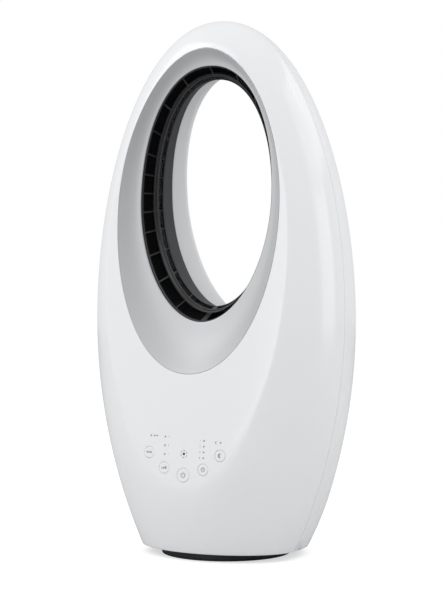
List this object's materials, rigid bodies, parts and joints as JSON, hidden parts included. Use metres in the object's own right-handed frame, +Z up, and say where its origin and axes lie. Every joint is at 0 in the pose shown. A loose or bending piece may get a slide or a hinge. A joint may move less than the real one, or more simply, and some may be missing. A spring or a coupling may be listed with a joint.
{
  "type": "bladeless fan",
  "caption": "Free-standing bladeless fan: egg-shaped white body with a tall oval air opening, key panel and rear intake grille, which swings on a round turntable foot.",
  "frame": {"origin": "on the surface it stands on, under the middle of the object's bounding box", "axes": "+Z up, +X to the right seen from the front, the opening's front and the keys look along -Y"},
  "size_m": [0.3084, 0.1913, 0.6],
  "materials": {
    "gloss_white": "gloss",
    "satin_silver": "satin silver paint",
    "pale_silver": "satin silver paint",
    "black_plastic": "satin",
    "dark_grey": "satin",
    "soft_rubber": "matte",
    "steel": "plain zinc-plated",
    "acetal": "satin",
    "circuit_board": "solder mask",
    "clear_plastic": "clear"
  },
  "bodies": {
    "base": {"base_pan": "black_plastic", "ballast_disc": "steel", "base_cover": "black_plastic", "rubber_foot_1": "soft_rubber", "rubber_foot_2": "soft_rubber", "rubber_foot_3": "soft_rubber", "rubber_foot_4": "soft_rubber", "slide_ring": "acetal", "post_retainer": "steel", "fixed_gear": "acetal", "post_screw_1": "steel", "post_screw_2": "steel", "post_screw_3": "steel"},
    "rotor": {"impeller": "dark_grey", "motor_shaft": "steel"},
    "pinion": {"drive_pinion": "acetal"},
    "key_swing_body": {"key_swing": "gloss_white"},
    "key_speed_body": {"key_speed": "gloss_white"},
    "key_power_body": {"key_power": "gloss_white"},
    "key_timer_body": {"key_timer": "gloss_white"},
    "key_sleep_body": {"key_sleep": "gloss_white"},
    "fan_body": {"front_shell": "gloss_white", "rear_shell": "gloss_white", "intake_grille": "gloss_white", "front_bezel": "satin_silver", "rear_collar": "pale_silver", "bottom_cover": "black_plastic", "outlet_grille": "black_plastic", "air_nozzle": "black_plastic", "receiver_window": "black_plastic", "blower_housing": "black_plastic", "inlet_ring": "black_plastic", "motor_carrier": "black_plastic", "power_socket": "black_plastic", "inner_duct": "dark_grey", "motor_damper": "soft_rubber", "blower_motor": "steel", "swing_motor": "steel", "motor_screw_1": "steel", "motor_screw_2": "steel", "shell_screw_1": "steel", "shell_screw_2": "steel", "shell_screw_3": "steel", "shell_screw_4": "steel", "shell_screw_5": "steel", "shell_screw_6": "steel", "control_board": "circuit_board", "main_board": "circuit_board", "light_guide": "clear_plastic"}
  },
  "joints": [
    {"name": "body_swing", "type": "hinge", "parent": "base", "child": "fan_body", "pos_m": [0, 0.00293, 0.01], "axis": [0, 0, 1], "range_deg": [-40, 40]},
    {"name": "impeller_spin", "type": "hinge", "parent": "fan_body", "child": "rotor", "pos_m": [0, 0.00293, 0.1], "axis": [0, 0, 1], "continuous": true},
    {"name": "pinion_turn", "type": "hinge", "parent": "fan_body", "child": "pinion", "pos_m": [0, 0.03993, 0.026], "axis": [0, 0, 1], "range_deg": [-100, 100]},
    {"name": "key_swing_press", "type": "slide", "parent": "fan_body", "child": "key_swing_body", "axis": [0, 0.9959, -0.0906], "range_m": [0, 0.0006], "stiffness_N_per_m": 2000},
    {"name": "key_speed_press", "type": "slide", "parent": "fan_body", "child": "key_speed_body", "axis": [0, 0.9959, -0.0906], "range_m": [0, 0.0006], "stiffness_N_per_m": 2000},
    {"name": "key_power_press", "type": "slide", "parent": "fan_body", "child": "key_power_body", "axis": [0, 0.9959, -0.0906], "range_m": [0, 0.0006], "stiffness_N_per_m": 2000},
    {"name": "key_timer_press", "type": "slide", "parent": "fan_body", "child": "key_timer_body", "axis": [0, 0.9959, -0.0906], "range_m": [0, 0.0006], "stiffness_N_per_m": 2000},
    {"name": "key_sleep_press", "type": "slide", "parent": "fan_body", "child": "key_sleep_body", "axis": [0, 0.9959, -0.0906], "range_m": [0, 0.0006], "stiffness_N_per_m": 2000}
  ],
  "couplings": [
    {"joint": "pinion_turn", "follows": "body_swing", "ratio": 2.5}
  ]
}
